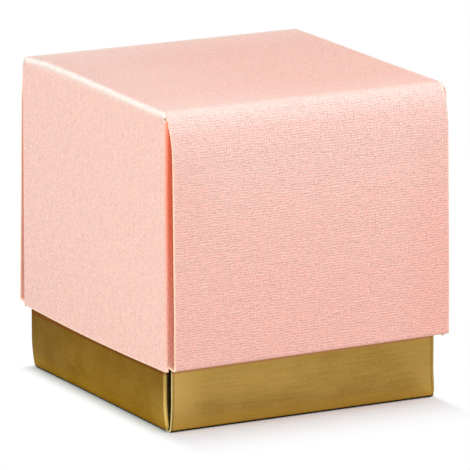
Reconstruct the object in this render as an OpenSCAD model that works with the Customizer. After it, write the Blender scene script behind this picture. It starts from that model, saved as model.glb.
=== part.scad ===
// Two-piece favor box: a deep lid over a base, each folded from one sheet of card.
// The end walls are single and turn into dust flaps at their upright creases. The front and back
// walls are double: each turns over at its rim and goes back inside, over the dust flaps.
// Up is +Z, the front is -Y, and the origin is the middle of the base's underside.

/* [Lid] */
// Width over the end walls
lid_w = 60; // [50:1:80]
// Length of the end walls, over the dust flaps
lid_l = 60; // [50:1:80]
// Height from the top down to the front and back rims
lid_h = 48.4; // [36:0.2:52]
// How far the end walls reach below those rims
lid_end_step = 0.7; // [0.1:0.1:1.4]
// Width of the folded rims
lid_rim_w = 3.1; // [2.5:0.05:3.3]
// Outer radius of the soft fold along the front and back of the top
roll_r = 2.2; // [1.8:0.1:2.6]
// Angle that the soft fold turns through before the wall springs out
roll_turn = 70; // [64:1:74]
// Radius of the wall's spring below the soft fold
roll_spring_r = 24; // [18:1:30]
// Lean of the front and back walls
wall_lean = 1.4; // [0.6:0.05:1.6]
// Angle round the soft folds at which the end walls' top creases stop and the slits start
crease_turn = 58; // [50:1:62]
// Length of the lid's dust flaps
lid_flap_l = 24; // [14:0.5:24.5]

/* [Base] */
// Height of the closed box
box_h = 61.5; // [56:0.5:80]
// Gap between the base's rims and the underside of the lid's top
head_gap = 0.4; // [0.3:0.05:1]
// Gap between the lid's inner walls and the base
slip_gap = 0.25; // [0.15:0.05:0.5]
// Gap between the lid's end walls and the base
end_gap = 0.4; // [0.2:0.05:0.8]
// Angle that the foot creases turn through before the walls spring upright
foot_turn = 80; // [74:1:84]
// Radius of the walls' spring above the foot creases
foot_spring_r = 36; // [20:1:44]
// How far the front and back walls stop short of the end walls' outer faces
base_wall_inset = 1.1; // [0.9:0.05:1.6]
// How far the end walls stay below the rims
base_end_step = 0.5; // [0:0.1:2]
// Length of the base's dust flaps
base_flap_l = 23; // [14:0.5:23.5]

/* [Card] */
// Thickness of the card
card_t = 0.4; // [0.3:0.05:0.45]
// Outer radius of the tight creases
crease_r = 0.6; // [0.5:0.05:0.7]
// Outer radius of the creases round the floor
foot_r = 0.75; // [0.6:0.05:0.9]
// Gap between layers that lie on each other
layer_gap = 0.05; // [0.02:0.01:0.1]
// Radius of the dust flaps' free corners
flap_corner_r = 5; // [1:0.5:8]
// Slope of the dust flaps' trimmed edges
flap_taper = 4; // [1:0.5:8]
// Radius of the inner walls' free corners
inner_corner_r = 2; // [0.5:0.5:6]
// How far the inner walls stop short of the walls beside them
inner_side_gap = 0.4; // [0.2:0.05:1]
// How far the inner walls stop short of the panel they reach to
inner_end_gap = 0.5; // [0.2:0.1:2]

/* [Hidden] */
pink = "#F8C6B8";
gold = "#AD8440";
fold_steps = 10; // straight steps in a quarter turn of a fold
spring_steps = 8; // straight steps in a wall's spring
layers = 2 * card_t + layer_gap; // a dust flap and the inner wall that holds it

// Lid, as distances out from the middle and heights
lid_x = lid_w / 2;
lid_y = lid_l / 2;
lid_rim_z = box_h - lid_h;
lid_end_z = lid_rim_z - lid_end_step;
lid_inner_y = lid_y - layers;
lid_rim_y = lid_inner_y + lid_rim_w;
lid_wall_x = lid_x - crease_r; // half width of the front and back walls
lid_top_x = lid_x - crease_r;
lid_side_y = lid_y - crease_r;
lid_roll_end = [roll_r * cos(90 - roll_turn), roll_r * sin(90 - roll_turn) - roll_r];
lid_spring_end = lid_roll_end + roll_spring_r * [cos(wall_lean) - cos(90 - roll_turn),
    sin(wall_lean) - sin(90 - roll_turn)];
lid_straight_h = lid_h - crease_r + lid_spring_end[1];
lid_top_y = lid_rim_y - lid_spring_end[0] - lid_straight_h * tan(wall_lean);

// Height in the lid wall's spring at which the face that lies depth behind its outer face has
// reached a distance out
function lid_spring_z(out, depth) = let (
        reach = out - lid_top_y - lid_roll_end[0] + roll_spring_r * cos(90 - roll_turn),
        a = acos(reach / (roll_spring_r - depth)))
    box_h + lid_roll_end[1] - roll_spring_r * sin(90 - roll_turn) + (roll_spring_r - depth) * sin(a);
lid_flap_top_z = lid_spring_z(lid_y + layer_gap, card_t) - layer_gap; // under the outer wall
lid_inner_top_z = lid_spring_z(lid_inner_y + card_t + layer_gap, card_t) - inner_end_gap;
lid_crease_top_z = lid_spring_z(lid_y, 0); // beside the outer wall

// Base, as distances out from the middle and heights
base_x = lid_x - card_t - end_gap;
base_y = lid_inner_y - slip_gap;
base_rim_z = box_h - card_t - head_gap;
base_end_z = base_rim_z - base_end_step;
foot_end = [foot_r * sin(foot_turn), foot_r - foot_r * cos(foot_turn)];
foot_spring_end = foot_end + foot_spring_r * [1 - sin(foot_turn), cos(foot_turn)];
floor_x = base_x - foot_spring_end[0];
floor_y = base_y - foot_spring_end[0];
base_flap_y = floor_y + (foot_r - card_t) * sin(foot_turn) - layer_gap;
base_inner_y = base_flap_y - layers;
base_wall_x = base_x - base_wall_inset;
base_flap_z = 2 * card_t + layer_gap; // where the dust flaps start above the floor

// A path is a list of [distance out, height, direction of the outer face]. An arc of one goes
// round the centre c, from direction a to direction b.
function arc(c, r, a, b, steps) = [for (i = [0:steps]) let (d = a + (b - a) * i / steps)
    [c[0] + r * cos(d), c[1] + r * sin(d), d]];
function tail(path) = [for (i = [1:len(path) - 1]) path[i]];
function last(path) = path[len(path) - 1];

// The arc that carries on from the end of a path, with another radius
function spring(path, r, b, steps) = let (p = last(path))
    tail(arc([p[0] - r * cos(p[2]), p[1] - r * sin(p[2])], r, p[2], b, steps));

// Outer face of a lid wall with the soft fold: the roll, the spring and the straight wall
function lid_wall_path() = let (
        roll = arc([lid_top_y, box_h - roll_r], roll_r, 90, 90 - roll_turn, fold_steps),
        sprung = concat(roll, spring(roll, roll_spring_r, wall_lean, spring_steps)))
    concat(sprung, [[lid_rim_y, lid_rim_z + crease_r, 0]]);

// Section of a tight crease as [out, up] from its centre: a quarter ring of card with a short leg
// that lies in the wall below it
function crease_section() = let (
        ring = concat(arc([0, 0], crease_r, 90, 0, fold_steps),
            [[crease_r, -card_t], [crease_r - card_t, -card_t]],
            arc([0, 0], crease_r - card_t, 0, 90, fold_steps)))
    [for (p = ring) [p[0], p[1]]];

// Outer face of a base wall that starts at the edge of the floor: its foot crease, its spring and
// the straight wall up to height z
function base_path(floor_edge, z) = let (
        foot = arc([floor_edge, foot_r], foot_r, -90, foot_turn - 90, fold_steps))
    concat(foot, spring(foot, foot_spring_r, 0, spring_steps), [[floor_edge + foot_spring_end[0], z, 0]]);

// Outer face of a base wall at one height in its spring
function base_out(floor_edge, z) = floor_edge + foot_spring_end[0] - foot_spring_r
    + sqrt(pow(foot_spring_r, 2) - pow(foot_spring_end[1] - z, 2));

// Rim fold between an inner and an outer face, turned over below (side -1) or above (side 1)
function rim_path(inner, outer, z, side) = concat(
    arc([outer - crease_r, z - side * crease_r], crease_r, 0, side * 90, fold_steps),
    arc([inner + crease_r, z - side * crease_r], crease_r, side * 90, side * 180, fold_steps));

// Card of one thickness whose outer face follows a path
module card(path) {
    outer = [for (p = path) [p[0], p[1]]];
    inner = [for (i = [len(path) - 1:-1:0]) let (p = path[i])
        [p[0] - card_t * cos(p[2]), p[1] - card_t * sin(p[2])]];
    polygon(concat(outer, inner));
}

// A path's section, drawn out along X as a back wall or along Y as a right wall
module back_wall(w) rotate([90, 0, 90]) linear_extrude(w, center = true) children();
module right_wall(w) rotate([90, 0, 0]) linear_extrude(w, center = true) children();
module front() mirror([0, 1, 0]) children();
module left() mirror([1, 0, 0]) children();

// Points of an outline's corner b, between a and c, rounded to radius r
function unit(v) = v / norm(v);
function rounded(a, b, c, r) = let (
        u = unit(a - b),
        v = unit(c - b),
        half = acos(u * v) / 2,
        middle = b + unit(u + v) * r / sin(half),
        start = b + u * r / tan(half) - middle,
        turn = (cross(u, v) > 0 ? -1 : 1) * (180 - 2 * half))
    [for (i = [0:fold_steps]) let (d = turn * i / fold_steps)
        middle + [start[0] * cos(d) - start[1] * sin(d), start[0] * sin(d) + start[1] * cos(d)]];

// Dust flap's plate: its crease side is a list of [x, z] from the bottom up. Its free end has
// rounded corners, and its lower or upper edge is trimmed to a slope.
module flap_plate(crease, y, l, low_taper, high_taper) {
    low = crease[0];
    high = last(crease);
    low_end = [low[0] - l, low[1] + l * tan(low_taper)];
    high_end = [low[0] - l, high[1] - l * tan(high_taper)];
    translate([0, y, 0]) rotate([90, 0, 0]) linear_extrude(card_t)
        polygon(concat(crease, rounded(high, high_end, low_end, flap_corner_r),
            rounded(high_end, low_end, low, flap_corner_r)));
}

// Upright crease between an end wall and its dust flap: a quarter ring of card that follows the
// end wall's outer face through stations of [distance out, height]
module upright_crease(stations, y) {
    quarter = arc([-crease_r, y - crease_r], crease_r, 0, 90, fold_steps);
    inside = arc([-crease_r, y - crease_r], crease_r - card_t, 90, 0, fold_steps);
    section = concat(quarter, inside);
    n = len(section);
    top = len(stations) - 1;
    sides = [for (k = [0:top - 1], i = [0:n - 1]) let (j = (i + 1) % n)
        [k * n + i, (k + 1) * n + i, (k + 1) * n + j, k * n + j]];
    polyhedron([for (s = stations, p = section) [s[0] + p[0], p[1], s[1]]],
        concat([[for (i = [0:n - 1]) i]], sides, [[for (i = [n - 1:-1:0]) top * n + i]]));
}

// Inner wall that lies against the dust flaps, from its rim fold at z to its free edge at end_z
module inner_wall(half_w, y, z, end_z) {
    hinge = [half_w, z];
    free = [half_w, end_z];
    other = [-half_w, end_z];
    outline = concat([hinge], rounded(hinge, free, other, inner_corner_r),
        rounded(free, other, [-half_w, z], inner_corner_r), [[-half_w, z]]);
    translate([0, y + card_t, 0]) rotate([90, 0, 0]) linear_extrude(card_t) polygon(outline);
}

// Lid
module lid_top_panel() color(pink) translate([-lid_top_x, -lid_top_y, box_h - card_t])
    cube([2 * lid_top_x, 2 * lid_top_y, card_t]);

// The end wall's outline, as distances along it and heights: its upper corners follow the soft folds
module lid_end_outline() intersection() {
    union() {
        translate([-lid_side_y, lid_end_z]) square([2 * lid_side_y, lid_crease_top_z - lid_end_z]);
        translate([-lid_top_y, lid_end_z]) square([2 * lid_top_y, lid_h - crease_r + lid_end_step]);
        for (side = [-1, 1]) translate([side * lid_top_y, box_h - roll_r])
            circle(roll_r - crease_r, $fn = 4 * fold_steps);
    }
    translate([-lid_side_y, lid_end_z]) square([2 * lid_side_y, lid_h]);
}

// The top crease runs along the top panel and on round both soft folds
module lid_end_wall() color(pink) {
    translate([lid_x - card_t, 0, 0]) rotate([90, 0, 90]) linear_extrude(card_t) lid_end_outline();
    right_wall(2 * lid_top_y) translate([lid_top_x, box_h - crease_r]) polygon(crease_section());
    for (side = [0, 1]) mirror([0, side, 0]) translate([lid_top_x, -lid_top_y, box_h - roll_r])
        rotate([180, -90, 0]) rotate_extrude(angle = crease_turn, $fn = 4 * fold_steps)
        translate([roll_r - crease_r, 0]) polygon([for (p = crease_section()) [p[1], p[0]]]);
}

module lid_dust_flap() color(pink) {
    crease_x = lid_x - crease_r;
    flap_z = lid_rim_z + card_t + layer_gap;
    upright_crease([[lid_x, lid_end_z], [lid_x, lid_crease_top_z]], lid_y);
    flap_plate([[crease_x, flap_z], [crease_x, lid_flap_top_z]], lid_y, lid_flap_l, 0, flap_taper);
}

module lid_outer_wall() color(pink) back_wall(2 * lid_wall_x) card(lid_wall_path());

module lid_rim_fold() color(pink) back_wall(2 * lid_wall_x)
    card(rim_path(lid_inner_y, lid_rim_y, lid_rim_z, -1));

module lid_inner_wall() color(pink) inner_wall(lid_x - card_t - inner_side_gap, lid_inner_y,
    lid_rim_z + crease_r, lid_inner_top_z);

module lid_left_end_wall() left() lid_end_wall();
module lid_right_end_wall() lid_end_wall();
module lid_left_front_dust_flap() left() front() lid_dust_flap();
module lid_left_back_dust_flap() left() lid_dust_flap();
module lid_right_front_dust_flap() front() lid_dust_flap();
module lid_right_back_dust_flap() lid_dust_flap();
module lid_front_outer_wall() front() lid_outer_wall();
module lid_back_outer_wall() lid_outer_wall();
module lid_front_rim_fold() front() lid_rim_fold();
module lid_back_rim_fold() lid_rim_fold();
module lid_front_inner_wall() front() lid_inner_wall();
module lid_back_inner_wall() lid_inner_wall();

// Base
module base_floor_panel() color(gold) translate([-floor_x, -floor_y, 0])
    cube([2 * floor_x, 2 * floor_y, card_t]);

module base_end_wall() color(gold) right_wall(2 * (base_flap_y - crease_r))
    card(base_path(floor_x, base_end_z));

module base_dust_flap() color(gold) {
    flap_top_z = base_rim_z - card_t - layer_gap;
    spring_zs = [for (i = [0:spring_steps]) base_flap_z
        + (foot_spring_end[1] - base_flap_z) * i / spring_steps];
    stations = [for (z = concat(spring_zs, [flap_top_z]))
        [z < foot_spring_end[1] ? base_out(floor_x, z) : base_x, z]];
    upright_crease(stations, base_flap_y);
    flap_plate([for (s = stations) [s[0] - crease_r, s[1]]], base_flap_y, base_flap_l, flap_taper, 0);
}

module base_outer_wall() color(gold) back_wall(2 * base_wall_x)
    card(base_path(floor_y, base_rim_z - crease_r));

module base_rim_fold() color(gold) back_wall(2 * base_wall_x)
    card(rim_path(base_inner_y, base_y, base_rim_z, 1));

module base_inner_wall() color(gold) inner_wall(floor_x + foot_r * sin(foot_turn) - card_t - inner_side_gap,
    base_inner_y, base_rim_z - crease_r, card_t + inner_end_gap);

module base_left_end_wall() left() base_end_wall();
module base_right_end_wall() base_end_wall();
module base_left_front_dust_flap() left() front() base_dust_flap();
module base_left_back_dust_flap() left() base_dust_flap();
module base_right_front_dust_flap() front() base_dust_flap();
module base_right_back_dust_flap() base_dust_flap();
module base_front_outer_wall() front() base_outer_wall();
module base_back_outer_wall() base_outer_wall();
module base_front_rim_fold() front() base_rim_fold();
module base_back_rim_fold() base_rim_fold();
module base_front_inner_wall() front() base_inner_wall();
module base_back_inner_wall() base_inner_wall();

lid_top_panel();
lid_left_end_wall();
lid_right_end_wall();
lid_left_front_dust_flap();
lid_left_back_dust_flap();
lid_right_front_dust_flap();
lid_right_back_dust_flap();
lid_front_outer_wall();
lid_back_outer_wall();
lid_front_rim_fold();
lid_back_rim_fold();
lid_front_inner_wall();
lid_back_inner_wall();
base_floor_panel();
base_left_end_wall();
base_right_end_wall();
base_left_front_dust_flap();
base_left_back_dust_flap();
base_right_front_dust_flap();
base_right_back_dust_flap();
base_front_outer_wall();
base_back_outer_wall();
base_front_rim_fold();
base_back_rim_fold();
base_front_inner_wall();
base_back_inner_wall();
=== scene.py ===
import functools
import math

import bpy
import numpy as np
from mathutils import Matrix, Vector


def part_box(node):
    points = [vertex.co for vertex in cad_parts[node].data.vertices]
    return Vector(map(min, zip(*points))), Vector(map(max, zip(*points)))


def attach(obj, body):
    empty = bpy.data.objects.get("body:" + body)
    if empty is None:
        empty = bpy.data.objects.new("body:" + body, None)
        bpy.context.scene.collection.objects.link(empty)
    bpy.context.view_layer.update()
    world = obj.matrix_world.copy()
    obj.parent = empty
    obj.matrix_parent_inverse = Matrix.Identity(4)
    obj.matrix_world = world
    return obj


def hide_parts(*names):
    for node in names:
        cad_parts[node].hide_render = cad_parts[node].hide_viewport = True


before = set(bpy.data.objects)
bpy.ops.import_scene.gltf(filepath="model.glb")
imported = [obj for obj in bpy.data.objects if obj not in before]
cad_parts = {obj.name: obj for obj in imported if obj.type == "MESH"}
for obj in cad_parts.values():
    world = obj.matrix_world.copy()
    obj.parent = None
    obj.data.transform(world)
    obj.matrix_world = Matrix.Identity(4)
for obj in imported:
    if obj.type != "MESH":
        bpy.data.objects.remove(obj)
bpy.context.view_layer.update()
scene = bpy.context.scene
mm = 0.001
tiny = 1e-3  # mm; places nearer than this are the same place
farAway, flapAway = 30.0, 99.0  # mm; stands for no fold near, and marks the dust flaps
white = (1, 1, 1, 1)

# Camera, from a fit of the photograph's edges, in degrees and mm; clip in metres
camera = {"azimuth": -28.073, "elevation": 13.197, "distance": 1128.27, "lens": 450.1, "sensor": 36.0,
          "target": (0.0, 0.0, 30.0), "aside": 0.532, "below": 0.882, "clip": (0.1, 10)}


def makeCamera():
    a, e = math.radians(camera["azimuth"]), math.radians(camera["elevation"])
    back = Vector((math.sin(a) * math.cos(e), -math.cos(a) * math.cos(e), math.sin(e)))
    right = Vector((math.cos(a), math.sin(a), 0))
    up = back.cross(right)
    data = bpy.data.cameras.new("camera")
    data.lens, data.sensor_width = camera["lens"], camera["sensor"]
    data.clip_start, data.clip_end = camera["clip"]
    made = bpy.data.objects.new("camera", data)
    scene.collection.objects.link(made)
    aim = Vector(camera["target"]) + right * camera["aside"] - up * camera["below"]
    turn = Matrix((right, up, back)).transposed().to_4x4()
    made.matrix_world = Matrix.Translation((aim + back * camera["distance"]) * mm) @ turn
    scene.camera = made


makeCamera()
print("camera made")


# Sizes in millimetres, from the frame
def box(node):  # its lowest and highest corner
    lo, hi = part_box(node)
    return np.array(lo) / mm, np.array(hi) / mm


# Paths: a card's outer face in section, as straight lines and arcs one after another
tightR = 1.5  # a smaller arc is a tight crease, a larger one a soft fold


def layPath(start, flip, moves):  # flip 1 turns down from a top panel, -1 turns up from a floor
    rows, place, turn, run = [], np.array(start, float), 0.0, 0.0
    for radius, amount in moves:  # an arc of so many degrees, or with no radius a length
        rows.append((run, place, turn, radius))
        if radius:
            out = np.array((math.sin(turn), flip * math.cos(turn)))
            turn += math.radians(amount)
            ahead = np.array((math.sin(turn), flip * math.cos(turn)))
            place = place + radius * (ahead - out)
            run += radius * math.radians(amount)
        else:
            place = place + amount * np.array((math.cos(turn), -flip * math.sin(turn)))
            run += amount
    rows.append((run, place, turn, 0.0))
    return {"flip": flip, "rows": rows}


def onPath(path, s):  # place and outward direction at length s, as (out, up)
    row = [r for r in path["rows"] if r[0] <= s + 1e-9] or [path["rows"][0]]
    run, place, turn, radius = row[-1]
    flip, gone = path["flip"], s - run
    if radius and s >= 0:
        out = np.array((math.sin(turn), flip * math.cos(turn)))
        turn += gone / radius
        ahead = np.array((math.sin(turn), flip * math.cos(turn)))
        return place + radius * (ahead - out), ahead
    return (place + gone * np.array((math.cos(turn), -flip * math.sin(turn))),
            np.array((math.sin(turn), flip * math.cos(turn))))


def pathRuns(path):  # the lengths at which its lines and arcs meet
    return [row[0] for row in path["rows"]]


def tightMids(path):  # the middles of its tight creases, other than one that it starts with
    rows = path["rows"]
    return [(a[0] + b[0]) / 2 for a, b in zip(rows[1:], rows[2:]) if 0 < a[3] < tightR]


def spread(a, b, count, ends=0.0):  # evenly spaced, and closer at both ends as ends nears 1
    t = np.linspace(0, 1, count + 1)
    return a + (b - a) * ((1 - ends) * t + ends * (1 - np.cos(np.pi * t)) / 2)


def chain(*runs):  # joins lists whose ends meet
    return np.concatenate([runs[0]] + [r[1:] for r in runs[1:]])


def stations(start, *legs):  # from start through each leg, given as its end and its steps
    starts = [start] + [end for end, steps in legs]
    return chain(*[spread(a, end, steps) for a, (end, steps) in zip(starts, legs)])


def banded(half, strip, fine, coarse, ends=0.0):  # from -half to half, finer in a strip at each end
    left, right = spread(-half, strip - half, fine, ends), spread(half - strip, half, fine, ends)
    return chain(left, spread(strip - half, half - strip, coarse), right)


# How the real card departs from the drawn one, smooth over the whole blank
def ramp(x, a, b):
    t = np.clip((x - a) / (b - a), 0, 1)
    return t * t * (3 - 2 * t)


def hump(x, half):  # 1 in the middle and 0 at half on both sides
    return np.cos(np.clip(x / half, -1, 1) * np.pi / 2)


def departure(row, at):  # its amount, where all of its ranges meet
    amount, *ranges = row
    return amount * math.prod(ramp(at[name], a, b) for name, a, b in ranges)


def unit(v):
    return v / np.maximum(np.linalg.norm(v, axis=-1, keepdims=True), 1e-12)


def warped(p, n, warp):  # places and normals after the warp, by its local slopes
    step = 0.004
    cols = [(warp(p + step * axis) - warp(p - step * axis)) / (2 * step) for axis in np.eye(3)]
    slopes = np.swapaxes(np.stack(cols, -1), -1, -2)
    return warp(p), unit(np.linalg.solve(slopes, n[..., None])[..., 0])


# Closed card meshes. A point holds its place, its outward normal, its place on the flat blank, its
# distances from a tight crease's and a soft fold's middle, and its share of painted slit shade, from how
# deep it lies under another wall
columns = {"place": slice(0, 3), "normal": slice(3, 6), "sheet": slice(6, 8), "creaseAway": 8,
           "rollAway": 9, "under": 10}
cutEdge = {"crown": 0.03, "soft": 0.09, "tilt": (0.75, 0.25, -0.25, -0.75)}  # swell, corner, shading
faceSide, backSide, cutSide = 0, 1, 2  # each card's materials


def point(place, normal, sheet, crease=farAway, roll=farAway, under=0.0):
    return (*place, *normal, *sheet, crease, roll, under)


def turnOut(quads, flat, normals):  # so that they face the way their normals point
    a, b, c = quads[0][:3]
    facing = np.cross(flat[b] - flat[a], flat[c] - flat[b])
    return quads if facing @ normals[a] >= 0 else [quad[::-1] for quad in quads]


def borderSides(quads):
    sides = [(a, b) for quad in quads for a, b in zip(quad, quad[1:] + quad[:1])]
    known = set(sides)
    return [(a, b) for a, b in sides if (b, a) not in known]


def cutDistances(points, cut):
    best = np.full(len(points), farAway)
    for start, end in ((points[a], points[b]) for a, b in cut):
        line = end - start
        t = np.clip((points - start) @ line / max(line @ line, 1e-12), 0, 1)
        best = np.minimum(best, np.linalg.norm(points - start - t[:, None] * line, axis=1))
    return best


def cutDirections(place, normal, cut):  # out of the card at its cut edges
    away = np.zeros(place.shape)
    for a, b in cut:
        side = unit(np.cross(place[b] - place[a], normal[a] + normal[b]))
        away[a] += side
        away[b] += side
    return unit(away)


class Card:  # one panel: grids on its outer face, closed into a sheet cardT thick
    def __init__(self, name):
        self.name, self.keys, self.rows, self.quads = name, {}, [], []

    def add(self, row):
        key = tuple(np.round(row[:3], 4))
        if key not in self.keys:
            self.keys[key] = len(self.rows)
            self.rows.append(row)
        return self.keys[key]

    def grid(self, points):  # rows of points that each neighbour's rows line up with
        ids = [[self.add(row) for row in line] for line in points]
        for here, ahead in zip(ids, ids[1:]):
            for j in range(len(here) - 1):
                quad = [here[j], here[j + 1], ahead[j + 1], ahead[j]]
                quad = [q for k, q in enumerate(quad) if q != quad[k - 1]]
                if len(quad) > 2:
                    self.quads.append(quad)

    def faces(self, place, normal, away, border, cut, index):  # each: corners, material, normals
        count, more, tilt = len(place), len(index), cutEdge["tilt"]
        made = [(quad, faceSide, normal[quad]) for quad in self.quads]
        for quad in self.quads:
            made.append(([v + count for v in quad[::-1]], backSide, -normal[quad[::-1]]))
        for a, b in border:
            if (a, b) not in cut:  # hidden, where the next panel goes on
                side = unit(np.cross(place[b] - place[a], normal[a]))
                made.append(([b, a, a + count, b + count], cutSide, [side] * 4))
                continue
            ring = [(a, b), (index[a], index[b]), (index[a] + more, index[b] + more),
                    (a + count, b + count)]
            for k in range(3):
                (p, q), (r, s) = ring[k], ring[k + 1]
                out = [tilt[k] * normal[b] + away[b], tilt[k] * normal[a] + away[a],
                       tilt[k + 1] * normal[a] + away[a], tilt[k + 1] * normal[b] + away[b]]
                made.append(([q, p, r, s], cutSide, unit(np.array(out))))
        return made

    def build(self, warp, joined, materials, slot, body):  # joined: where the next panel goes on
        rows, count = np.array(self.rows), len(self.rows)
        flat, flatNormal = rows[:, columns["place"]], rows[:, columns["normal"]]
        place, normal = warped(flat, flatNormal, warp)
        self.quads = turnOut(self.quads, flat, flatNormal)
        border = borderSides(self.quads)
        cut = [(a, b) for a, b in border if not joined((flat[a] + flat[b]) / 2)]
        away = cutDirections(place, normal, cut)
        edge = sorted({v for pair in cut for v in pair})
        index = {v: 2 * count + i for i, v in enumerate(edge)}
        swell = place[edge] + cutEdge["crown"] * away[edge]
        verts = np.concatenate([place, place - cardT * normal, swell - cutEdge["soft"] * normal[edge],
                                swell - (cardT - cutEdge["soft"]) * normal[edge]])
        faces = self.faces(place, normal, away, border, cut, index)

        mesh = bpy.data.meshes.new(self.name)
        mesh.from_pydata((verts * mm).tolist(), [], [corners for corners, _, _ in faces])
        for material in materials:
            mesh.materials.append(material)
        mesh.polygons.foreach_set("material_index", [side for _, side, _ in faces])
        mesh.polygons.foreach_set("use_smooth", [True] * len(faces))
        source = np.concatenate([np.arange(count), np.arange(count), edge, edge]).astype(int)
        loops = [v for corners, _, _ in faces for v in corners]
        layer = mesh.uv_layers.new(name="sheet")
        layer.data.foreach_set("uv", rows[source[loops], columns["sheet"]].ravel())
        marks = {name: rows[source, columns[name]] for name in ("creaseAway", "rollAway", "under")}
        cutAway = cutDistances(flat, cut)
        marks["cutAway"] = np.concatenate([cutAway, cutAway, np.zeros(2 * len(edge))])
        for name, values in marks.items():
            mesh.attributes.new(name, "FLOAT", "POINT").data.foreach_set("value", values)
        mesh.normals_split_custom_set([tuple(v) for _, _, normals in faces for v in normals])
        mesh.update()
        made = bpy.data.objects.new(self.name, mesh)
        scene.collection.objects.link(made)
        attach(made, body)
        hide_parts(self.name)


def facePoint(facing, d, u, z):
    return {"front": (u, -d, z), "back": (u, d, z), "right": (d, u, z), "left": (-d, u, z)}[facing]


def faceNormal(facing, out, up):
    return {"front": (0, -out, up), "back": (0, out, up), "right": (out, 0, up),
            "left": (-out, 0, up)}[facing]


def faceSheet(facing, run, u):  # place on the flat blank
    return {"front": (u, -run), "back": (u, run), "right": (run, u), "left": (-run, u)}[facing]


def pathCard(name, size, path, edge, facing, cols, rollMid=None, sideMid=None):
    # cols: each column's place across and its list of lengths; sideMid: an upright crease's middle
    card = Card(name)
    points = []
    for u, runs in cols:
        points.append([])
        for s in runs:
            (d, z), (out, up) = onPath(path, s)
            near = [abs(s - mid) + size["wallFade"] for mid in tightMids(path)]
            near += [sideMid - abs(u)] if sideMid else []
            points[-1].append(point(
                facePoint(facing, d, u, z), faceNormal(facing, out, up),
                faceSheet(facing, edge + s, u), min(near + [farAway]),
                farAway if rollMid is None else s - rollMid))
    card.grid(points)
    return card


def innerColumns(size, crease, rows):  # shortened round an inner wall's two free corners
    half, r, length = size["innerX"], size["innerCornerR"], rows[-1] - crease
    ends = half - r + r * np.sin(np.linspace(0, np.pi / 2, 7))
    columns = []
    for u in chain(-ends[::-1], spread(-ends[0], ends[0], 12), ends):
        past = max(abs(u) - half + r, 0)
        cutBack = r - math.sqrt(max(r ** 2 - past ** 2, 0))
        columns.append((u, crease + (rows - crease) / length * (length - cutBack)))
    return columns


def slitShade(slitPaintedShade, side, w, z):  # painted shade in the slits: the lid's pales toward the rim, and lies deeper on the right
    if "darkZ" not in slitPaintedShade:
        return float(ramp(w, slitPaintedShade["start"], slitPaintedShade["end"]))
    right = side > 0
    start = slitPaintedShade["start"] + (slitPaintedShade["rightIn"] if right else slitPaintedShade["leftIn"] * ramp(z, *slitPaintedShade["leftZ"]))
    dark = sum(ramp(z, *span) / 2 for span in slitPaintedShade["darkZ"])
    return float(ramp(w, start, slitPaintedShade["end"]) * dark * (ramp(z, *slitPaintedShade["rightZ"]) if right else 1))


def flapCard(name, side, end, flap):
    # side -1 left or 1 right, end -1 front or 1 back; outAt(z) gives the end wall's outer face
    card = Card(name)
    r, length, low, high = flap["creaseR"], flap["length"], flap["low"], flap["high"]
    turn = r * math.pi / 2

    def grid(places, heights):  # places: distances round the crease and along the plate
        points = []
        for w, column in zip(places, heights):
            points.append([])
            for z in column:
                a = min(w / r, math.pi / 2)
                x = flap["outAt"](z) - r + r * math.cos(a) - max(w - turn, 0)
                y = flap["flapY"] - r + r * math.sin(a)
                points[-1].append(point(
                    (side * x, end * y, z), (side * math.cos(a), end * math.sin(a), 0),
                    (side * flap["sheetX"](z), end * (flap["sheetY"] + w)),
                    abs(w - turn / 2) + flap["flapFade"], flapAway, slitShade(flap["slitPaintedShade"], side, w, z)))
        card.grid(points)

    bend = spread(0, turn, 8)
    grid(bend, [flap["creaseZs"]] * len(bend))
    corner = flap["flapCornerR"]
    plate = chain(spread(0, length - corner, 6),
                  length - corner + corner * np.sin(np.linspace(0, np.pi / 2, 9)))
    lowSlope, highSlope = [math.tan(math.radians(taper)) for taper in flap["tapers"]]
    share = (flap["plateZs"] - low) / (high - low)
    columns = []
    for w in plate:
        cut = corner - math.sqrt(max(corner ** 2 - max(w - length + corner, 0) ** 2, 0))
        bottom, top = low + w * lowSlope + cut, high - w * highSlope - cut
        columns.append(bottom + share * (top - bottom))
    grid(plate + turn, columns)
    return card


def allRound(p):  # every edge goes on into the next panel
    return True


def flapCards(prefix, flap):
    return [flapCard(f"{prefix}_{sideName}_{endName}_dust_flap", side, end, flap)
            for side, sideName in ((-1, "left"), (1, "right"))
            for end, endName in ((-1, "front"), (1, "back"))]


# The lid's blank: places from the frame, the folds' own sizes, how wear, painted highlight and painted
# slit shade fade, and the strips and steps of its meshes
(topLo, topHi), (endLo, endHi), (flapLo, flapHi), (rimLo, _), (_, innerHi) = [
    box("lid_" + name) for name in ("top_panel", "right_end_wall", "right_back_dust_flap",
                                    "front_rim_fold", "front_inner_wall")]
cardT = topHi[2] - topLo[2]
lid = {"topX": topHi[0], "topY": topHi[1], "topZ": topHi[2], "endX": endHi[0], "sideY": endHi[1],
       "endZ": endLo[2], "flapY": flapHi[1], "flapX": flapLo[0], "rimY": -rimLo[1], "rimZ": rimLo[2],
       "innerY": -innerHi[1], "innerX": innerHi[0], "innerTopZ": innerHi[2], "creaseTopZ": flapHi[2],
       "creaseR": endHi[0] - topHi[0], "rollR": 2.2, "rollTurn": 70.0, "springR": 24.0, "lean": 1.4,
       "creaseTurn": 58.0, "flapCornerR": 5.0, "flapTaper": 4.0, "innerCornerR": 2.0, "layerGap": 0.05,
       "hingeNear": 0.1, "wallFade": 0.9, "flapFade": 10.0, "rollMid": 0.55, "strip": 4,
       "rimStrip": 6, "flapStrip": 3, "acrossSteps": (5, 16, 0.3), "alongSteps": (5, 12),
       "slitPaintedShade": {"start": -0.2, "end": 1.15, "rightIn": 1.1, "rightZ": (57, 50), "leftIn": 0.25,
                "leftZ": (44, 30), "darkZ": ((10, 19), (16, 46))}}

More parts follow.
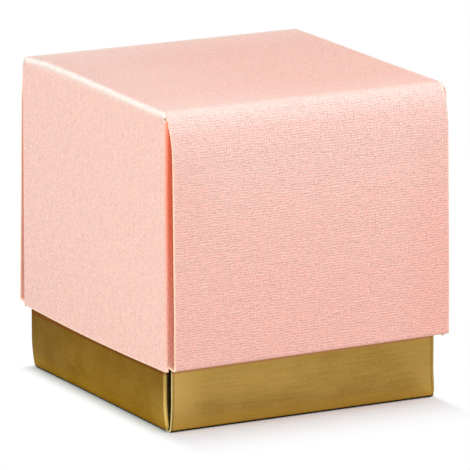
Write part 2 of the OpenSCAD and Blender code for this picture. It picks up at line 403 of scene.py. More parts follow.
# Each departure: its amount in mm, then the ranges over which it comes in. Side is the distance from
# the middle to left or right, deep is the distance below the top, and low runs from 0 at the top to 1
# at the rim
lidWarp = {"endBow": (0.42, ("side", 26, 29.3)), "bowPower": 1.7, "bowHalf": 31,
           "frontMoved": (1, ("y", -29.6, -31.3), ("deep", 0.2, 2.2)), "frontAside": 0.3,
           "rimHeld": (0.4, ("low", 0.75, 1)), "narrowing": 0.0017, "taper": (0.0018, ("z", 30, 50)),
           "backFlare": (0.62, ("y", 29.7, 30.6), ("low", 0, 0.12)), "flarePower": 0.5,
           "frontWall": (1, ("y", -29.6, -31.3)), "rimSlope": 0.0075, "frontDrop": 0.15,
           "endDrop": (0.3, ("side", 29, 29.9)), "dropHalf": 36,
           "cornerDrop": (0.5, ("y", 29, 30.4), ("x", -26, -29.4))}
lidLifts = {"back": (0.22, ("y", -14, 20), ("z", 48, 60)),
            "backSquare": (0.8, ("y", 28.2, 30.2), ("z", 57, 60)),
            "rightDroop": (-0.14, ("x", 27.8, 29.5), ("y", -26, -29.5), ("z", 52, 60)),
            "left": (0.41, ("x", -22, -29.4), ("y", -27, 8), ("y", 29, 20), ("z", 54, 61)),
            "frontSquare": (0.45, ("side", 29.2, 29.9), ("y", -28.2, -30), ("z", 57.5, 60))}


def warpLid(p):
    x, y, z = p[..., 0], p[..., 1], p[..., 2]
    deep = lid["topZ"] - z
    low = np.clip(deep / (lid["topZ"] - lid["endZ"]), 0, 1)
    at = {"x": x, "y": y, "z": z, "side": np.abs(x), "deep": deep, "low": low}

    def part(name):
        return departure(lidWarp[name], at)

    bow = np.sign(x) * part("endBow") * low ** lidWarp["bowPower"] * hump(y, lidWarp["bowHalf"])
    aside = lidWarp["frontAside"] - (lidWarp["narrowing"] + part("taper")) * x
    dx = bow + part("frontMoved") * (1 - part("rimHeld")) * aside
    dy = part("backFlare") * low ** lidWarp["flarePower"]
    drop = part("endDrop") * hump(y, lidWarp["dropHalf"]) + part("cornerDrop")
    slope = part("frontWall") * (lidWarp["rimSlope"] * x - lidWarp["frontDrop"])
    dz = low * (slope - drop) + sum(departure(row, at) for row in lidLifts.values())
    return p + np.stack([dx, dy, dz], -1)


def lidPath():  # round the soft fold, down the outer wall, round the rim and up the inner wall
    r, start = lid["creaseR"], (lid["topY"], lid["topZ"])
    roll = [(lid["rollR"], lid["rollTurn"]), (lid["springR"], 90 - lid["lean"] - lid["rollTurn"])]
    springZ = layPath(start, 1, roll)["rows"][-1][1][1]
    down = (springZ - lid["rimZ"] - r) / math.cos(math.radians(lid["lean"]))
    return layPath(start, 1, roll + [
        (0, down), (r, 90 + lid["lean"]), (0, lid["rimY"] - lid["innerY"] - 2 * r), (r, 90),
        (0, lid["innerTopZ"] - lid["rimZ"] - r)])


def lidEndWall(side, facing, along):  # the top crease's strip, the plate and the slivers by the slits
    r, rollZ, plateR = lid["creaseR"], lid["topZ"] - lid["rollR"], lid["rollR"] - lid["creaseR"]
    turn = r * math.pi / 2
    turns = np.radians(spread(0, lid["creaseTurn"], 10))
    columns = [(-lid["topY"], -a) for a in turns[:0:-1]] + [(y, 0.0) for y in along] + \
        [(lid["topY"], a) for a in turns[1:]]
    card = Card(f"lid_{facing}_end_wall")
    points = []
    for y0, a in columns:
        points.append([])
        for b in np.linspace(0, np.pi / 2, 9):
            rad = plateR + r * math.cos(b)
            points[-1].append(point(
                (side * (lid["topX"] + r * math.sin(b)), y0 + rad * math.sin(a),
                 rollZ + rad * math.cos(a)),
                (side * math.sin(b), math.cos(b) * math.sin(a), math.cos(b) * math.cos(a)),
                (side * (lid["topX"] + r * b), y0 + lid["rollR"] * a), abs(b * r - turn / 2)))
    card.grid(points)

    shares = stations(0, (0.04, 2), (0.85, 11), (1, 6))

    def plate(tops):
        points = []
        for y, top in tops:
            zs = top + shares * (lid["endZ"] - top)
            points.append([point((side * lid["endX"], y, z), (side, 0, 0),
                                 (side * (lid["topX"] + turn + lid["topZ"] - r - z), y),
                                 top - z + turn / 2) for z in zs])
        card.grid(points)

    plate([(y0 + plateR * math.sin(a), rollZ + plateR * math.cos(a)) for y0, a in columns])
    slotY = lid["topY"] + plateR * math.sin(turns[-1])
    outY = lid["topY"] + math.sqrt(plateR ** 2 - (lid["creaseTopZ"] - rollZ) ** 2)
    sliver = [(y, max(rollZ + math.sqrt(max(plateR ** 2 - (y - lid["topY"]) ** 2, 0)),
                      lid["creaseTopZ"])) for y in stations(slotY, (outY, 4), (lid["sideY"], 1))]
    plate(sliver)
    plate([(-y, z) for y, z in sliver[::-1]])
    return card


def lidFlap(path):  # the dust flaps stop where the outer wall's spring leaves no room
    r, s, step = lid["creaseR"], pathRuns(path)[1], 0.02
    (d, z), (out, rise) = onPath(path, s)
    while d - cardT * out < lid["flapY"] + lid["layerGap"]:
        s += step
        (d, z), (out, rise) = onPath(path, s)
    low, high = lid["rimZ"] + cardT + lid["layerGap"], z - cardT * rise - lid["layerGap"]
    plateZs = stations(low, (low + lid["flapStrip"], 2), (high, 9))
    creaseZs = chain(np.array([lid["endZ"], low]), plateZs, np.array([high, lid["creaseTopZ"]]))
    unrolled = lid["topX"] + r * math.pi / 2 + lid["topZ"] - r
    return dict(lid, length=lid["topX"] - lid["flapX"], low=low, high=high, plateZs=plateZs,
                creaseZs=creaseZs, tapers=(0, lid["flapTaper"]), outAt=lambda z: lid["endX"],
                sheetX=lambda z: unrolled - z, sheetY=lid["sideY"])


def buildLid(materials):
    r, path = lid["creaseR"], lidPath()
    runs = pathRuns(path)
    rollMid = runs[1] * lid["rollMid"]
    across = banded(lid["topX"], lid["strip"], *lid["acrossSteps"])
    along = banded(lid["topY"], lid["strip"], *lid["alongSteps"])

    def besideSlit(p):
        return abs(p[0]) < lid["topX"] - tiny

    def atHinge(p):
        return abs(p[2] - lid["rimZ"] - r) < lid["hingeNear"] and abs(p[0]) < lid["innerX"] - tiny

    def besidePanels(p):
        atTop = abs(abs(p[0]) - lid["topX"]) < tiny and abs(p[1]) < lid["topY"]
        return abs(p[1]) > lid["sideY"] - tiny or atTop

    top = Card("lid_top_panel")
    top.grid([[point((x, y, lid["topZ"]), (0, 0, 1), (x, y), lid["topX"] - abs(x) + r * math.pi / 4,
                     abs(y) - lid["topY"] - rollMid) for y in along] for x in across])
    made = [(top, allRound)]
    outer = stations(0, (runs[1], 12), (runs[2], 7), (runs[3] - lid["rimStrip"], 10), (runs[3], 6))
    fold = stations(runs[3], (runs[4], 8), (runs[5], 2), (runs[6], 8))
    inner = innerColumns(lid, runs[6], spread(runs[6], runs[7], 10))
    for facing in ("front", "back"):
        for part, cols, joined in (("outer_wall", [(u, outer) for u in across], besideSlit),
                                   ("rim_fold", [(u, fold) for u in across], besideSlit),
                                   ("inner_wall", inner, atHinge)):
            card = pathCard(f"lid_{facing}_{part}", lid, path, lid["topY"], facing, cols, rollMid)
            made.append((card, joined))
    for side, facing in ((-1, "left"), (1, "right")):
        made.append((lidEndWall(side, facing, along), besidePanels))
    for card in flapCards("lid", lidFlap(path)):
        made.append((card, lambda p: abs(abs(p[0]) - lid["endX"]) < tiny))
    for card, joined in made:
        card.build(warpLid, joined, materials, "lid_card", "lid")


# The base's blank, in the same way
(_, floorHi), (_, endHi), (flapLo, flapHi), (_, frontHi), (rimLo, rimHi), (innerLo, innerHi) = [
    box("base_" + name) for name in ("floor_panel", "right_end_wall", "right_back_dust_flap",
                                     "front_outer_wall", "front_rim_fold", "front_inner_wall")]
base = {"floorX": floorHi[0], "floorY": floorHi[1], "endX": endHi[0], "endZ": endHi[2],
        "flapY": flapHi[1], "flapX": flapLo[0], "flapZ": flapLo[2], "flapTopZ": flapHi[2],
        "wallX": frontHi[0], "rimY": -rimLo[1], "rimZ": rimHi[2], "innerY": -innerHi[1],
        "innerX": innerHi[0], "innerLowZ": innerLo[2], "creaseR": lid["creaseR"], "footR": 0.75,
        "footTurn": 80.0, "springR": 36.0, "flapCornerR": 5.0, "flapTaper": 4.0,
        "innerCornerR": 2.0, "hingeGap": 0.02, "hingeNear": 0.05, "flapReach": 1.5, "strip": 3,
        "rimStrip": 2, "acrossSteps": (3, 14), "footRun": 0.5, "wallFade": 0.3, "flapFade": 0.0,
        "floorFade": 0.5, "slitPaintedShade": {"start": 0.62, "end": 1.06}}
baseWarp = {"footOut": (0.7, ("x", 20, 28.5), ("z", 6, 0)), "rightIn": (-0.26, ("x", 20, 28.5)),
            "leftOut": (-0.16, ("x", -20, -28), ("y", 12, 27)), "backOut": (0.45, ("y", 18, 27.5))}


def warpBase(p):
    at = {"x": p[..., 0], "y": p[..., 1], "z": p[..., 2]}
    dx = sum(departure(baseWarp[name], at) for name in ("footOut", "rightIn", "leftOut"))
    return p + np.stack([dx, departure(baseWarp["backOut"], at), np.zeros_like(dx)], -1)


def basePaths():  # up the front wall, round the rim and down the inner wall; and up the end wall
    r = base["creaseR"]
    foot = [(base["footR"], base["footTurn"]), (base["springR"], 90 - base["footTurn"])]
    springZ = layPath((0, 0), -1, foot)["rows"][-1][1][1]
    path = layPath((base["floorY"], 0), -1, foot + [
        (0, base["rimZ"] - r - springZ), (r, 90), (0, base["rimY"] - base["innerY"] - 2 * r), (r, 90),
        (0, base["rimZ"] - r - base["innerLowZ"])])
    endPath = layPath((base["floorX"], 0), -1, foot + [(0, base["endZ"] - springZ)])
    return path, endPath, springZ


def baseFlap(springZ, sideY):
    r, low, high = base["creaseR"], base["flapZ"], base["flapTopZ"]

    def outAt(z):
        if z >= springZ:
            return base["endX"]
        centreX = base["endX"] - base["springR"]
        return centreX + math.sqrt(base["springR"] ** 2 - (springZ - z) ** 2)

    plateZs = stations(low, (springZ, 6), (high, 10))
    return dict(base, length=base["endX"] - r - base["flapX"], low=low, high=high, plateZs=plateZs,
                creaseZs=plateZs, tapers=(base["flapTaper"], 0), outAt=outAt,
                sheetX=lambda z: base["floorX"] + base["footRun"] + z, sheetY=sideY)


def buildBase(materials):
    r, sideY = base["creaseR"], base["flapY"] - base["creaseR"]
    path, endPath, springZ = basePaths()
    runs, endRuns = pathRuns(path), pathRuns(endPath)
    across = banded(base["wallX"], base["strip"], *base["acrossSteps"])

    def besideSlit(p):
        return abs(p[0]) < base["wallX"] - tiny

    def atHinge(p):
        return abs(p[2] - base["rimZ"] + r) < base["hingeNear"] and abs(p[0]) < base["innerX"] - tiny

    def besideFlap(p):
        return p[2] < tiny or (abs(p[1]) > sideY - tiny and base["flapZ"] < p[2] < base["flapTopZ"])

    def atFlapCrease(p):
        return abs(abs(p[1]) - sideY) < tiny and abs(p[0]) > base["endX"] - base["flapReach"]

    def fromCrease(x, y):
        return min(base["floorX"] - abs(x), base["floorY"] - abs(y)) + base["floorFade"]

    floor = Card("base_floor_panel")
    floor.grid([[point((x, y, 0), (0, 0, -1), (x, y), fromCrease(x, y))
                 for y in spread(-base["floorY"], base["floorY"], 14)]
                for x in spread(base["floorX"], -base["floorX"], 14)])
    made = [(floor, allRound, "base")]
    outer = stations(0, (runs[1], 8), (runs[2], 6), (runs[3] - base["rimStrip"], 10), (runs[3], 2))
    fold = stations(runs[3], (runs[4], 8), (runs[5], 1), (runs[6], 8))
    inner = innerColumns(base, runs[6], spread(runs[6] + base["hingeGap"], runs[7], 12))
    for facing in ("front", "back"):
        for part, cols, joined, body in (
                ("outer_wall", [(u, outer) for u in across], besideSlit, "base"),
                ("rim_fold", [(u, fold) for u in across], besideSlit, "base"),
                ("inner_wall", inner, atHinge, f"{facing}_inner_wall")):
            card = pathCard(f"base_{facing}_{part}", base, path, base["floorY"], facing, cols)
            made.append((card, joined, body))
    rows = stations(0, (endRuns[1], 8), (endRuns[2], 6), (endRuns[3], 12))
    for facing in ("left", "right"):
        card = pathCard(f"base_{facing}_end_wall", base, endPath, base["floorX"], facing,
                        [(u, rows) for u in spread(-sideY, sideY, 16)], None, sideY + r * math.pi / 4)
        made.append((card, besideFlap, "base"))
    made += [(card, atFlapCrease, "base") for card in flapCards("base", baseFlap(springZ, sideY))]
    for card, joined, body in made:
        card.build(warpBase, joined, materials, "base_card", body)


# Materials
def linear(r, g, b):  # from screen values of 0 to 255
    return tuple(((v / 255 + 0.055) / 1.055) ** 2.4 if v > 10 else v / 3294 for v in (r, g, b)) + (1,)


class Nodes:  # makes and joins the nodes of one tree
    def __init__(self, tree):
        self.tree = tree

    def join(self, socket, value):
        if isinstance(value, bpy.types.NodeSocket):
            self.tree.links.new(value, socket)
        else:
            socket.default_value = value

    def make(self, kind, inputs=(), **settings):
        made = self.tree.nodes.new("ShaderNode" + kind)
        for name, value in settings.items():
            setattr(made, name, value)
        for name, value in dict(inputs).items():
            self.join(made.inputs[name], value)
        return made

    def calc(self, operation, *values):
        return self.make("Math", enumerate(values), operation=operation).outputs[0]

    def times(self, *values):
        return functools.reduce(lambda a, b: self.calc("MULTIPLY", a, b), values)

    def scaled(self, value, by, plus):  # value * by + plus
        return self.calc("MULTIPLY_ADD", value, by, plus)

    def ease(self, value, low, high, start=0.0, end=1.0):  # smooth step
        return self.make("MapRange", {0: value, 1: low, 2: high, 3: start, 4: end},
                         interpolation_type="SMOOTHSTEP").outputs[0]

    def within(self, look, at):  # how far a point lies inside all of a look's ranges
        return self.times(*[self.ease(at[name], *look[name]) for name in look if name in at])

    def noise(self, place, scale, detail, more=(), dimensions="2D"):
        inputs = {"Vector": place, "Scale": scale, "Detail": detail, **dict(more)}
        return self.make("TexNoise", inputs, noise_dimensions=dimensions).outputs["Fac"]

    def sheet(self):  # the place on the flat blank, in mm
        return self.make("UVMap", uv_map="sheet").outputs[0]

    def mark(self, name):
        return self.make("Attribute", attribute_name=name).outputs["Fac"]

    def blend(self, share, a, b):
        return self.make("Mix", {0: share, 6: a, 7: b}, data_type="RGBA").outputs[2]

    def bump(self, height, depth):
        return self.make("Bump", {"Height": height, "Distance": depth * mm, "Strength": 1.0}).outputs[0]


class Group(Nodes):
    def __init__(self, name, inputs, outputs):
        super().__init__(bpy.data.node_groups.new(name, "ShaderNodeTree"))
        for label, default in inputs.items():
            socket = self.tree.interface.new_socket(label, in_out="INPUT",
                                                    socket_type="NodeSocketFloat")
            socket.default_value = default
        for label in outputs:
            self.tree.interface.new_socket(label, in_out="OUTPUT", socket_type="NodeSocketFloat")
        self.given = self.tree.nodes.new("NodeGroupInput").outputs
        self.out = self.tree.nodes.new("NodeGroupOutput").inputs


class Material(Nodes):
    def __init__(self, name):
        self.made = bpy.data.materials.new(name)
        self.made.use_nodes = True
        super().__init__(self.made.node_tree)

    def place(self, group, inputs=()):
        return self.make("Group", inputs, node_tree=group.tree).outputs

    def spot(self):  # where a point lies on its object at rest, in mm
        parts = self.make("SeparateXYZ", {0: self.make("TexCoord").outputs["Object"]}).outputs
        return [self.calc("DIVIDE", part, mm) for part in parts]

    def shade(self, inputs):
        for label, value in inputs.items():
            self.join(self.tree.nodes["Principled BSDF"].inputs[label], value)
        return self.made


# Each noise: its scale and detail, then any other input
linenLook = {"wanderNoise": (0.5, 1.0, {"Distortion": 0.2}), "wander": 0.6, "dashScale": 0.8,
             "dashNoise": (1.0, 2.0), "dash": (0.36, 0.64, 0.3, 1.0), "rowStep": 3.7,
             "starts": (11.0, 47.0), "threadBase": 0.7, "pulpNoise": (1.9, 2.0), "pulpBase": 0.2}


def linenGroup():  # two crossing sets of embossed threads on the blank, in mm
    group = Group("linenEmbossing", {"Pitch": 0.5, "Flat": 0.4, "Upright": 0.3}, ("Height",))
    calc, sheet = group.calc, group.sheet()
    parts = group.make("SeparateXYZ", {0: sheet}).outputs
    wander = group.noise(sheet, *linenLook["wanderNoise"])
    ways = []
    for along, across, start in zip((0, 1), (1, 0), linenLook["starts"]):
        place = group.scaled(wander, linenLook["wander"], parts[across])
        count = calc("DIVIDE", place, group.given["Pitch"])
        wave = calc("COSINE", calc("MULTIPLY", count, 2 * math.pi))
        row = group.scaled(calc("FLOOR", count), linenLook["rowStep"], start)
        run = calc("MULTIPLY", parts[along], linenLook["dashScale"])
        dash = group.noise(group.make("CombineXYZ", {0: run, 1: row}).outputs[0],
                           *linenLook["dashNoise"])
        ways.append(group.times(calc("ADD", wave, linenLook["threadBase"]),
                                group.ease(dash, *linenLook["dash"])))
    flat, upright = ways
    pulp = calc("SUBTRACT", group.noise(sheet, *linenLook["pulpNoise"]), linenLook["pulpBase"])
    height = group.scaled(upright, group.given["Upright"], pulp)
    group.join(group.out["Height"], group.scaled(flat, group.given["Flat"], height))
    return group


# The soft fold's painted highlight comes in over rise and goes over fall
wearLook = {"unevenNoise": (1.3, 3.0), "width": (0.7, 0.65), "fade": (1.1, 0.15), "wavy": 1.2,
            "rise": ((-15.0, -1.0, 0.0, 0.35), (-4.2, 0.0)),
            "fall": ((7.0, 0.2), (26.0, 2.0, 0.0, 0.3))}


def wearGroup():  # how near a tight crease's middle, a soft fold's middle or a cut edge a point is, for pale wear and painted highlight; and its painted slit shade
    group = Group("foldWearAndPaintedLight", {"Crease Width": 0.5, "Edge Width": 0.35},
                  ("Crease", "Roll", "Edge", "PaintedSlitShade"))
    uneven = group.noise(group.sheet(), *wearLook["unevenNoise"])
    width = group.scaled(uneven, *wearLook["width"])
    for name, label in (("creaseAway", "Crease"), ("cutAway", "Edge")):
        reach = group.times(group.given[label + " Width"], width)
        share = group.calc("DIVIDE", group.mark(name), reach)
        group.join(group.out[label], group.ease(share, *wearLook["fade"]))
    wavy = group.scaled(group.calc("SUBTRACT", uneven, 0.5), wearLook["wavy"], group.mark("rollAway"))
    rise, fall = [group.calc("MAXIMUM", *[group.ease(wavy, *span) for span in wearLook[name]])
                  for name in ("rise", "fall")]
    group.join(group.out["Roll"], group.times(rise, fall))
    group.join(group.out["PaintedSlitShade"], group.mark("under"))
    return group


foilLook = {"cloud": (0.16, 4.0, {"Roughness": 0.6}), "grain": (2.2, 3.0), "lines": (1.0, 3.0),
            "lineScale": (0.12, 2.4, 1.0)}


def foilGroup():  # clouding, fine grain and rolling lines of metallised card
    group = Group("foilSurface", {}, ("Cloud", "Grain", "Lines"))
    sheet = group.sheet()
    drawn = group.make("Mapping", {"Vector": sheet, "Scale": foilLook["lineScale"]}).outputs[0]
    group.join(group.out["Cloud"], group.noise(sheet, *foilLook["cloud"]))
    group.join(group.out["Grain"], group.noise(sheet, *foilLook["grain"]))
    group.join(group.out["Lines"], group.noise(drawn, *foilLook["lines"]))
    return group


linen, wearAndPaintedLight, foil = linenGroup(), wearGroup(), foilGroup()

# Colours of 0 to 255, and the ranges in mm over which each comes in: from, to, and the shares there.
# Across is the distance from the middle to left or right, out to front or back, and past the distance
# below a soft fold's middle
pinkLook = {"deep": (243, 180, 165), "raised": (254, 218, 205), "outerEnd": 60.0,
            "flatThreads": (0.3, 0.1), "uprightThreads": (7.0, 18.0, 0.32, 0.09),
            "creaseWidth": 1.1, "edgeWidth": 0.36, "middle": 0.63, "topContrast": (60.8, 61.2, 1.0, 2.2),
            "lower": {"colour": (250, 168, 150), "past": (12.0, 46.0, 0.0, 0.2)},
            "sides": {"across": (18.0, 27.0, 0.0, 0.15), "out": (29.7, 30.2), "past": (5.0, 11.0)},
            "leftSide": (12.0, 34.0, 1.0, 0.0), "edge": (255, 222, 196), "edgeShare": 0.8,
            "wornAndPaintedLight": (255, 241, 232), "wornAndHighlightShare": 0.85, "rollHighlightShare": 0.62,
            "paintedSheenTopLeft": {"z": (59.5, 61.3), "x": (6.0, -24.0, 0.0, 0.17)}, "slitPaintedShade": (255, 122, 80),
            "corner": {"colour": (255, 250, 238), "z": (13.6, 13.1), "across": (28.7, 29.3),
                       "out": (30.2, 30.9)}, "cornerShare": 0.9, "rough": (-0.15, 0.75),
            "specular": 0.2, "depth": 0.13}


def pinkFace():
    card, look = Material("pinkLinenCard"), pinkLook
    calc, blend = card.calc, card.blend
    past = card.mark("rollAway")
    outside = calc("LESS_THAN", past, look["outerEnd"])  # not on the dust flaps or far inside
    cloth = card.place(linen, {"Flat": card.scaled(outside, *look["flatThreads"]),
                               "Upright": card.ease(past, *look["uprightThreads"])})
    wornAndPaintedLight = card.place(wearAndPaintedLight, {"Crease Width": look["creaseWidth"], "Edge Width": look["edgeWidth"]})
    x, y, z = card.spot()
    at = {"x": x, "z": z, "across": calc("ABSOLUTE", x), "out": calc("ABSOLUTE", y), "past": past}
    tone = card.scaled(calc("SUBTRACT", cloth["Height"], look["middle"]),
                       card.ease(z, *look["topContrast"]), look["middle"])
    shown = blend(tone, linear(*look["deep"]), linear(*look["raised"]))
    # painted shade: the outer walls turn a deeper, darker pink low down and in strips by their side
    # edges
    lower = card.times(card.within(look["lower"], at), outside)
    upper = card.ease(past, *look["leftSide"])  # on the left, only the walls' upper part
    sides = card.times(card.within(look["sides"], at), outside,
                       calc("MAXIMUM", calc("GREATER_THAN", x, 0.0), upper))
    shown = blend(calc("ADD", lower, sides), shown, linear(*look["lower"]["colour"]))
    # paler beside the cut edges: partly the card's pale core, partly painted highlight
    shown = blend(card.times(wornAndPaintedLight["Edge"], look["edgeShare"]), shown, linear(*look["edge"]))
    # pale wear and painted highlight on the tight creases; painted highlight along the soft fold
    light = calc("MAXIMUM", wornAndPaintedLight["Crease"], card.times(wornAndPaintedLight["Roll"], look["rollHighlightShare"]))
    shown = blend(card.times(light, look["wornAndHighlightShare"]), shown, linear(*look["wornAndPaintedLight"]))
    # painted sheen: the top panel pales toward its left crease
    shown = blend(card.within(look["paintedSheenTopLeft"], at), shown, linear(*look["wornAndPaintedLight"]))
    # painted shade: deep coral where the slit beside each dust flap lies in shadow
    shown = blend(wornAndPaintedLight["PaintedSlitShade"], shown, linear(*look["slitPaintedShade"]))
    # painted highlight: a near-white spot at the lid's bottom corners, by the rim
    corner = card.times(card.within(look["corner"], at), look["cornerShare"])
    shown = blend(corner, shown, linear(*look["corner"]["colour"]))
    return card.shade({"Base Color": shown, "Roughness": card.scaled(cloth["Height"], *look["rough"]),
                       "Specular IOR Level": look["specular"],
                       "Normal": card.bump(cloth["Height"], look["depth"])})


# End stands for the left end wall, and front for what lies to the right of it
goldLook = {"deep": (156, 121, 54), "bright": (176, 141, 71), "cloud": (0.3, 0.7), "cloudShare": 0.4,
            "fleck": (0.38, 0.62, 0.0, 0.6), "endX": -28.4, "lineShare": 0.5,
            "creaseWidth": 0.6, "edgeWidth": 0.25,
            "paintedGlintNearCut": {"colour": (216, 178, 100), "away": (9.0, 0.0, 0.0, 0.5),
                        "x": (5.0, -20.0, 0.45, 1.0)},
            "wornAndPaintedLight": (226, 194, 112), "wornAndHighlightShare": 0.6,
            "endBackShade": {"colour": (128, 109, 78), "y": (2.0, 26.0, 0.0, 0.4)},
            "endUpperShade": {"colour": (134, 104, 56), "z": (3.5, 12.0, 0.0, 0.42)},
            "frontUpperGlint": {"colour": (216, 178, 100), "x": (12.0, -8.0, 0.0, 0.21), "z": (3.5, 9.0)},
            "foot": {"colour": (196, 154, 60), "z": (3.6, 0.9, 0.0, 0.5)},
            "frontLine": {"colour": (176, 118, 74), "slope": -0.0075, "rise": (11.6, 11.8),
                          "fall": (12.6, 12.2)},
            "endLine": {"colour": (144, 96, 54), "slope": 0.006, "curve": -0.00024,
                        "rise": (10.72, 10.95), "fall": (12.4, 11.7)}, "lineShown": 0.85,
            "underFoot": {"colour": (34, 24, 6), "z": (0.6, 0.2, 0.0, 0.95)},
            "besideCut": {"colour": (112, 88, 34), "start": (0.1, 0.25), "end": (0.55, 0.3, 0.0, 0.6)},
            "slitPaintedShade": (24, 14, 4), "rough": (0.12, 0.30), "cloudRough": 0.06, "tint": (112, 102, 118),
            "bump": (0.6, 0.4), "depth": 0.012}


def goldFace():
    card, look = Material("goldFoilCard"), goldLook
    calc, times = card.calc, card.times
    skin = card.place(foil)
    wornAndPaintedLight = card.place(wearAndPaintedLight, {"Crease Width": look["creaseWidth"], "Edge Width": look["edgeWidth"]})
    x, y, z = card.spot()
    away = card.mark("cutAway")
    at = {"x": x, "y": y, "z": z, "away": away}
    ended = calc("LESS_THAN", x, look["endX"])  # on the left end wall
    front = calc("SUBTRACT", 1, ended)

    def over(shown, part, *shares):  # lays a tint over where its ranges meet
        return card.blend(times(card.within(look[part], at), *shares), shown,
                          linear(*look[part]["colour"]))

    def lineAt(part, level):  # a painted shade line just below the lid's rim
        return times(card.ease(level, *look[part]["rise"]), card.ease(level, *look[part]["fall"]))

    cloud = card.ease(skin["Cloud"], *look["cloud"])
    ruled = times(front, look["lineShare"])
    fleck = calc("ADD", times(skin["Lines"], ruled), times(skin["Grain"], calc("SUBTRACT", 1, ruled)))
    shown = card.blend(card.scaled(cloud, look["cloudShare"], card.ease(fleck, *look["fleck"])),
                       linear(*look["deep"]), linear(*look["bright"]))
    # painted reflection: the foil lightens within a few mm of its cut edges, most toward the left
    shown = over(shown, "paintedGlintNearCut")
    # pale wear and painted highlight along the creases
    shown = card.blend(times(wornAndPaintedLight["Crease"], look["wornAndHighlightShare"]), shown, linear(*look["wornAndPaintedLight"]))
    # painted shade: the left end wall darkens toward the back
    shown = over(shown, "endBackShade", ended)
    # painted shade: the left end wall darkens toward the top, under the lid's rim
    shown = over(shown, "endUpperShade", ended)
    # painted highlight: the front wall lightens toward its upper left
    shown = over(shown, "frontUpperGlint", front)
    # painted reflection: the foil lightens toward the foot
    shown = over(shown, "foot")
    # painted shade below the lid's rim, as a line on the front and on the left end wall
    frontLine = lineAt("frontLine", card.scaled(x, look["frontLine"]["slope"], z))
    level = card.scaled(times(y, y), look["endLine"]["curve"],
                        card.scaled(y, look["endLine"]["slope"], z))
    line = calc("ADD", times(ended, lineAt("endLine", level)), times(front, frontLine))
    rimShadeColour = card.blend(ended, linear(*look["frontLine"]["colour"]), linear(*look["endLine"]["colour"]))
    shown = card.blend(times(line, look["lineShown"]), shown, rimShadeColour)
    # painted shade: the contact shadow darkens the lowest part of the foot
    shown = over(shown, "underFoot")
    cut = look["besideCut"]
    shown = card.blend(times(card.ease(away, *cut["start"]), card.ease(away, *cut["end"])), shown,
                       linear(*cut["colour"]))
    # painted shade: near-black where the slit beside each dust flap lies in shadow
    shown = card.blend(wornAndPaintedLight["PaintedSlitShade"], shown, linear(*look["slitPaintedShade"]))
    rough = calc("ADD", card.scaled(skin["Grain"], *look["rough"]), times(cloud, look["cloudRough"]))
    height = calc("ADD", *[times(skin[name], by) for name, by in zip(("Lines", "Grain"), look["bump"])])
    return card.shade({"Base Color": shown, "Metallic": 1.0, "Roughness": rough,
                       "Specular Tint": linear(*look["tint"]),
                       "Normal": card.bump(height, look["depth"])})


# The last four are each plain side's deep and raised colours
plainLook = {"mottle": (260.0, 4.0), "fibre": (2600.0, 3.0, {"Distortion": 1.2}), "mask": (0.4, 0.62),
             "rough": (0.1, 0.8), "specular": 0.25, "depth": 0.01,
             "pinkCardBack": ((250, 192, 174), (255, 204, 188)),
             "pinkCardEdge": ((255, 206, 176), (255, 220, 192)),
             "goldCardBack": ((234, 228, 215), (244, 240, 230)),
             "goldCardEdge": ((196, 178, 120), (222, 206, 150))}


def plainCard(name):  # pulp: mottled, with short fibres
    card, look = Material(name), plainLook
    place = card.make("TexCoord").outputs["Object"]
    mottle = card.noise(place, *look["mottle"], dimensions="3D")
    fibre = card.noise(place, *look["fibre"], dimensions="3D")
    mask = card.calc("ADD", card.times(mottle, 0.5), card.times(fibre, 0.5))
    deep, face = [linear(*colour) for colour in look[name]]
    return card.shade({"Base Color": card.blend(card.ease(mask, *look["mask"]), deep, face),
                       "Specular IOR Level": look["specular"],
                       "Roughness": card.scaled(fibre, *look["rough"]),
                       "Normal": card.bump(fibre, look["depth"])})


lidMaterials = [pinkFace(), plainCard("pinkCardBack"), plainCard("pinkCardEdge")]
baseMaterials = [goldFace(), plainCard("goldCardBack"), plainCard("goldCardEdge")]
print("materials made")
buildLid(lidMaterials)
print("lid made")
buildBase(baseMaterials)
print("base made")

# Floor, light and world. Reach: how far, in mm, the floor's shade goes past the foot on each side. Each
# lamp: direction, distance, size, power and colour
studio = {"floorSize": 3.0, "floorDrop": 0.02, "floorGrey": 0.78, "floorTint": (1.0, 1.03, 1.06),
          "floorRough": 0.9, "paper": 0.02, "paperNoise": (900.0, 3.0), "fill": 0.57,
          "aim": (0, 0, 0.03),
          "reach": {"left": 4.5, "back": 21.0, "right": 1.8, "front": 2.8},
          "lamps": {"topSoftbox": ((0.46, -0.30, 0.86), 1.0, 0.5, 2.52, (0.96, 1.0, 1.0)),
                    "leftSoftbox": ((-0.88, -0.28, 0.38), 1.0, 0.7, 6.05, (0.82, 1.0, 1.0)),
                    "nearLamp": ((0.10, -0.68, 0.72), 0.225, 0.1, 0.095, (1.0, 0.5, 0.52))}}


def seenRay(nodes):  # 1 for camera, glossy and transmission rays
    path = nodes.make("LightPath").outputs
    seen = nodes.calc("MAXIMUM", path["Is Camera Ray"], path["Is Glossy Ray"])
    return nodes.calc("MAXIMUM", seen, path["Is Transmission Ray"])


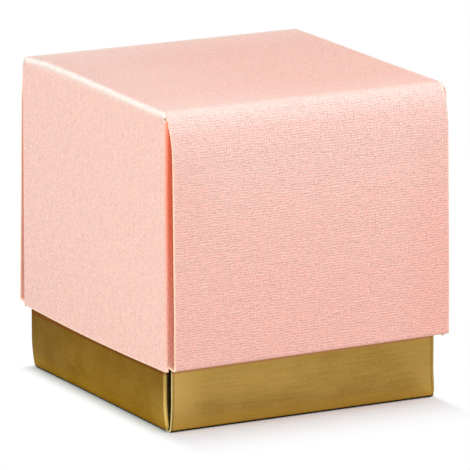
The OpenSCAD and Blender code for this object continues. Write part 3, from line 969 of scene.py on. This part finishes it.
def paleFloor():  # white where it is seen, but for the shade round the foot
    floor = Material("paleFloor")
    calc, reach = floor.calc, studio["reach"]
    paper = floor.noise(floor.make("TexCoord").outputs["Object"], *studio["paperNoise"],
                        dimensions="3D")
    value = floor.scaled(paper, studio["paper"], studio["floorGrey"] - studio["paper"] / 2)
    tint = {i: floor.times(value, by) for i, by in enumerate(studio["floorTint"])}
    floor.shade({"Base Color": floor.make("CombineColor", tint).outputs[0],
                 "Roughness": studio["floorRough"], "Specular IOR Level": 0.0})
    x, y, _ = floor.spot()

    def beyond(value, sign, edge, size):  # share of a side's reach that a point lies past the foot
        past = calc("SUBTRACT", floor.times(value, sign), edge)
        return calc("MAXIMUM", calc("DIVIDE", past, size), 0.0)

    acrossBy = calc("ADD", beyond(x, -1, base["floorX"], reach["left"]),
                    beyond(x, 1, base["floorX"], reach["right"]))
    alongBy = calc("ADD", beyond(y, -1, base["floorY"], reach["back"]),
                   beyond(y, 1, base["floorY"], reach["front"]))
    away = calc("SQRT", calc("ADD", floor.times(acrossBy, acrossBy), floor.times(alongBy, alongBy)))
    share = floor.times(floor.ease(away, 0.0, 1.0), seenRay(floor))
    glow = floor.make("Emission", {"Color": white, "Strength": 1.0}).outputs[0]
    shader = floor.tree.nodes["Principled BSDF"].outputs[0]
    mix = floor.make("MixShader", {0: share, 1: shader, 2: glow}).outputs[0]
    floor.join(floor.tree.nodes["Material Output"].inputs[0], mix)
    return floor.made


def makeFloor():
    half = studio["floorSize"] / 2
    mesh = bpy.data.meshes.new("floor")
    mesh.from_pydata([(-half, -half, 0), (half, -half, 0), (half, half, 0), (-half, half, 0)], [],
                     [(0, 1, 2, 3)])
    mesh.materials.append(paleFloor())
    made = bpy.data.objects.new("floor", mesh)
    scene.collection.objects.link(made)
    made.location.z = -studio["floorDrop"] * mm


def makeWorld():  # white where it is seen, and a weaker fill light otherwise
    world = bpy.data.worlds.new("studio")
    world.use_nodes = True
    scene.world = world
    nodes = Nodes(world.node_tree)
    back = nodes.tree.nodes["Background"]
    nodes.join(back.inputs[0], white)
    nodes.join(back.inputs[1], nodes.scaled(seenRay(nodes), 1 - studio["fill"], studio["fill"]))


def areaLight(name, direction, distance, size, power, colour):
    data = bpy.data.lights.new(name, "AREA")
    data.shape, data.size, data.size_y = "RECTANGLE", size, size
    data.energy, data.color = power, colour
    made = bpy.data.objects.new(name, data)
    scene.collection.objects.link(made)
    away = Vector(direction).normalized()
    made.location = Vector(studio["aim"]) + away * distance
    made.rotation_mode = "QUATERNION"
    made.rotation_quaternion = away.to_track_quat("Z", "Y")


makeFloor()
makeWorld()
for name, lamp in studio["lamps"].items():
    areaLight(name, *lamp)
scene.view_settings.view_transform = "Standard"
print("stage made")
